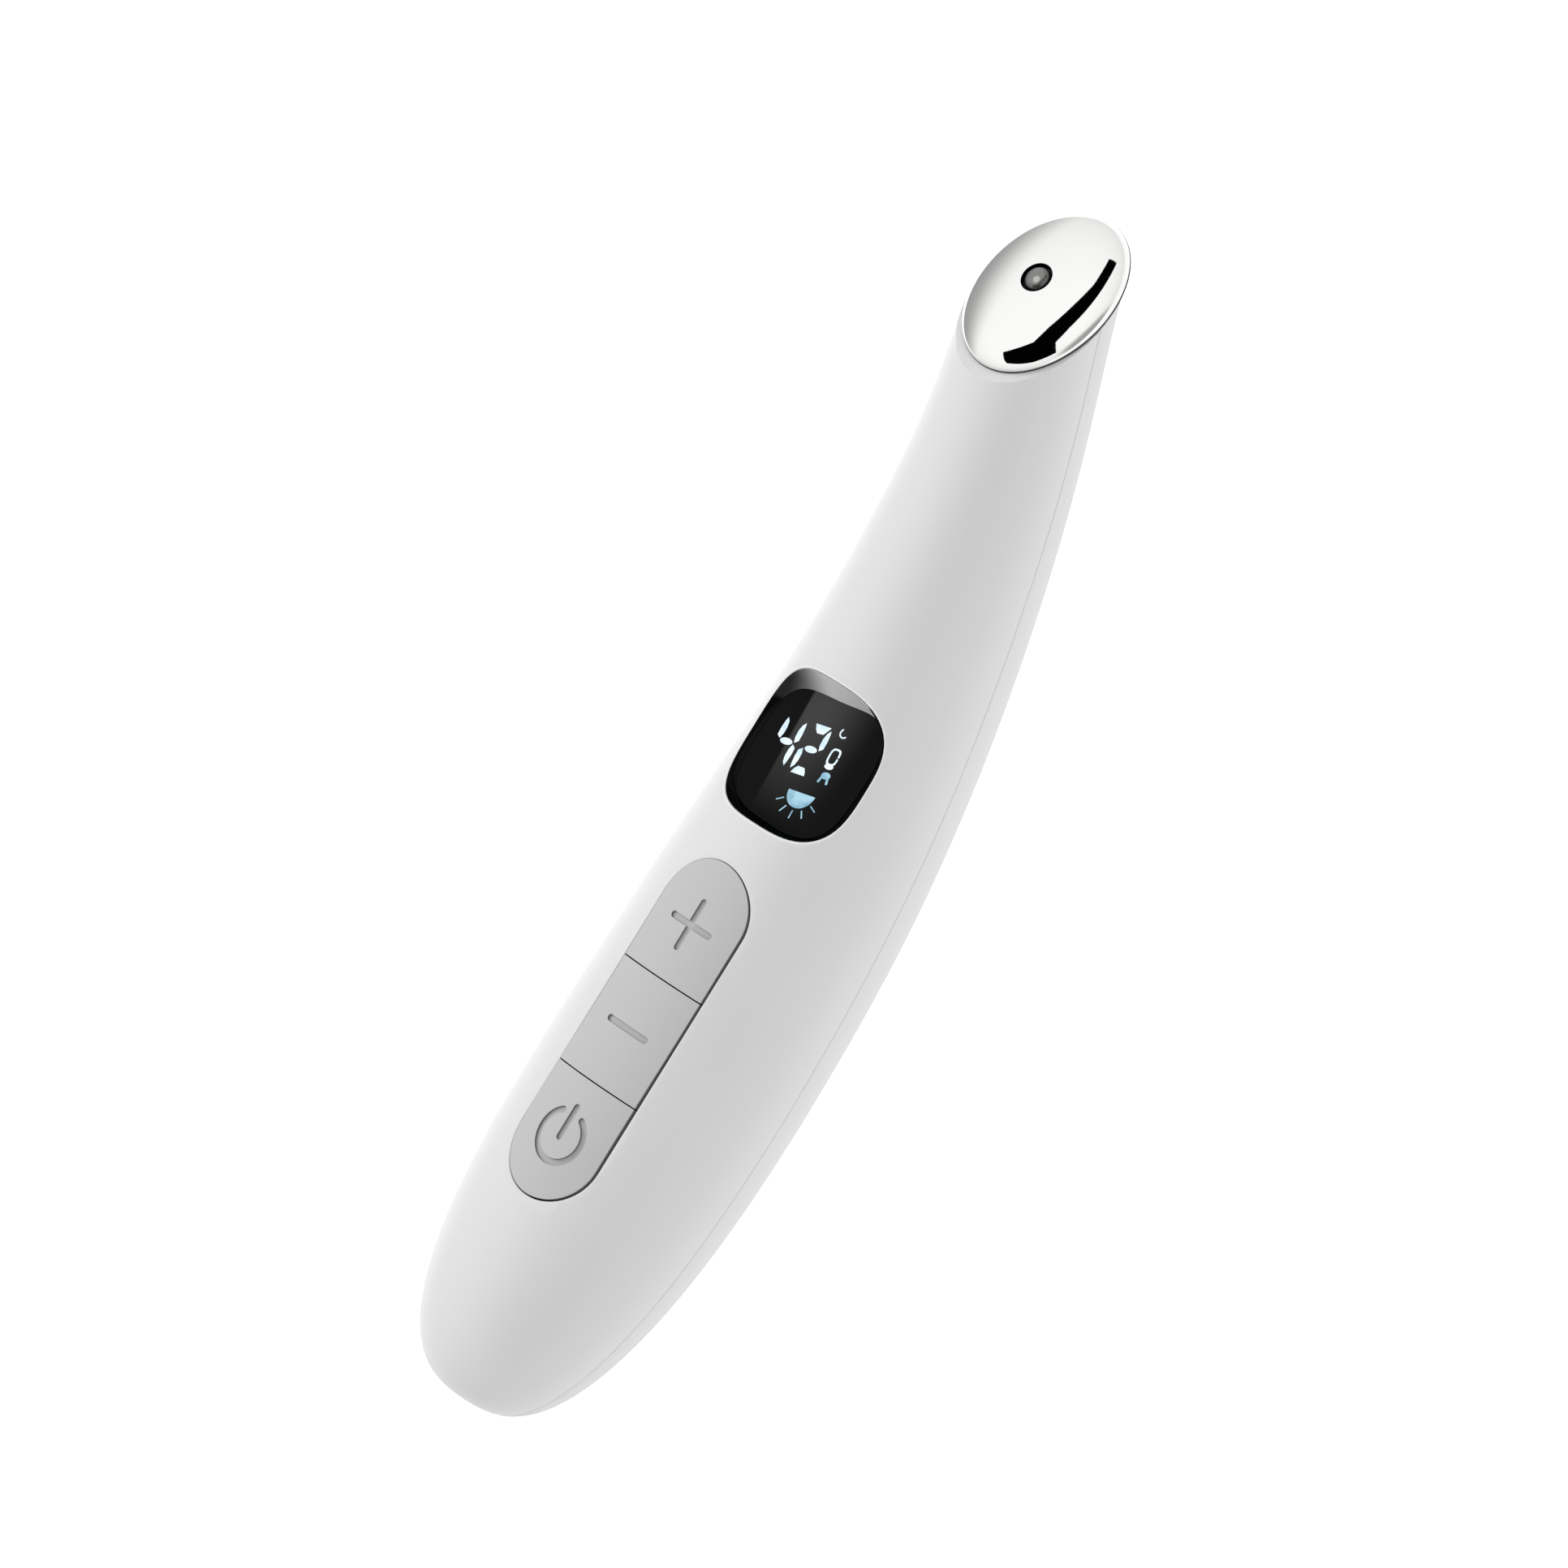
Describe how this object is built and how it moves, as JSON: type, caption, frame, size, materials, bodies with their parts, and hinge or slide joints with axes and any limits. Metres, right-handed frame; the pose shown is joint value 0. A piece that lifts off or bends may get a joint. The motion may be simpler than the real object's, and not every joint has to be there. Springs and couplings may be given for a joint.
{
  "type": "heated vibrating eye massage wand",
  "caption": "Curved two-shell wand with an oblique domed metal head, a recessed lit display and a row of push keys.",
  "frame": {"origin": "on the flat rest land at the back of the handle, under the row of keys", "axes": "+Z out of the front with the display and keys, +Y along the handle towards the metal head, +X to the right seen from the front"},
  "size_m": [0.0328, 0.1518, 0.0326],
  "materials": {
    "white_plastic": "satin",
    "grey_key_plastic": "satin",
    "chrome": "mirror polished",
    "black_gloss": "gloss",
    "smoked_window": "high gloss",
    "black_rubber": "matt",
    "light_lens": "gloss",
    "natural_plastic": "matt",
    "green_board": "satin",
    "steel": "satin",
    "weight_metal": "satin",
    "amber_film": "gloss",
    "sensor_bead": "gloss",
    "yellow_led": "gloss",
    "grey_foam": "matt",
    "chip_black": "matt",
    "battery_sleeve": "gloss",
    "red_lead": "satin",
    "black_lead": "satin"
  },
  "bodies": {
    "handle": {"front_shell": "white_plastic", "back_shell": "white_plastic", "chrome_head_cap": "chrome", "lens_ring": "black_rubber", "led_lens": "light_lens", "head_board": "green_board", "light_led": "yellow_led", "heater_film": "amber_film", "temperature_sensor": "sensor_bead", "head_carrier": "natural_plastic", "head_ribbon": "amber_film", "display_bezel": "black_gloss", "display_lens": "smoked_window", "display_gasket": "grey_foam", "display_module": "chip_black", "plus_switch": "chip_black", "minus_switch": "chip_black", "power_switch": "chip_black", "main_board": "green_board", "controller_chip": "chip_black", "board_screw_1": "steel", "board_screw_2": "steel", "battery_cell": "battery_sleeve", "battery_tray": "natural_plastic", "battery_lead_red": "red_lead", "battery_lead_black": "black_lead", "charge_board": "green_board", "charge_lead_red": "red_lead", "charge_lead_black": "black_lead", "usb_port_shell": "steel", "usb_port_tongue": "chip_black", "motor_can": "steel", "motor_end_cap": "natural_plastic", "motor_cradle": "black_rubber", "motor_lead_red": "red_lead", "motor_lead_black": "black_lead"},
    "plus_key": {"plus_button": "grey_key_plastic"},
    "minus_key": {"minus_button": "grey_key_plastic"},
    "power_key": {"power_button": "grey_key_plastic"},
    "motor_rotor": {"motor_shaft": "steel", "eccentric_weight": "weight_metal"}
  },
  "joints": [
    {"name": "plus_key_press", "type": "slide", "parent": "handle", "child": "plus_key", "axis": [0, 0, -1], "range_m": [0, 0.0004], "stiffness_N_per_m": 3000},
    {"name": "minus_key_press", "type": "slide", "parent": "handle", "child": "minus_key", "axis": [0, 0, -1], "range_m": [0, 0.0004], "stiffness_N_per_m": 3000},
    {"name": "power_key_press", "type": "slide", "parent": "handle", "child": "power_key", "axis": [0, 0, -1], "range_m": [0, 0.0004], "stiffness_N_per_m": 3000},
    {"name": "motor_spin", "type": "hinge", "parent": "handle", "child": "motor_rotor", "pos_m": [0, 0.066, 0.01864], "axis": [0, 0.9611, 0.2763], "continuous": true}
  ]
}
